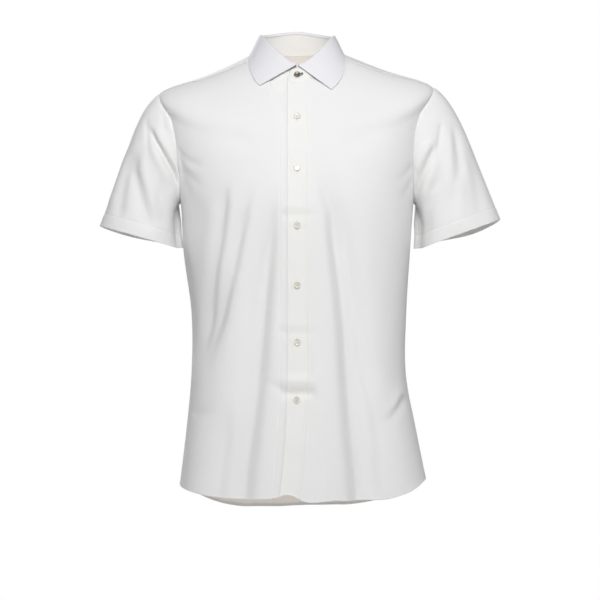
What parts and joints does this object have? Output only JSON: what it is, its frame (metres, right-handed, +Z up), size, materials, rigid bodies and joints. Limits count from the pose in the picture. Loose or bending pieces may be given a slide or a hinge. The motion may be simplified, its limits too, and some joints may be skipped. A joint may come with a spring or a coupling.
{
  "type": "short-sleeved dress shirt",
  "caption": "Short-sleeved white dress shirt, buttoned up and hollow as worn, with a spread collar, a placket and a curved hem.",
  "frame": {"origin": "the middle of the neck opening, level with the tops of the shoulders, where the wearer holds the shirt up", "axes": "+Z up along the wearer's neck, -Y the way the wearer faces, +X towards the wearer's left side"},
  "size_m": [0.6805, 0.2523, 0.8231],
  "materials": {
    "shirting": "fine plain-woven cotton, white, matt",
    "interfaced_band": "stiffened cotton, slightly warm white",
    "collar_cloth": "stiffened cotton, slightly cool white",
    "pale_button": "polished pearl-like resin",
    "dark_button": "polished dark mottled resin"
  },
  "bodies": {
    "root": {"front_right": "shirting", "front_left": "shirting", "placket": "interfaced_band", "back": "shirting", "yoke": "shirting", "sleeve_right": "shirting", "sleeve_left": "shirting", "collar_stand": "collar_cloth", "collar_leaf": "collar_cloth", "button_1": "pale_button", "button_2": "pale_button", "button_3": "pale_button", "button_4": "pale_button", "button_5": "pale_button", "button_6": "pale_button", "button_collar": "dark_button"}
  },
  "joints": []
}
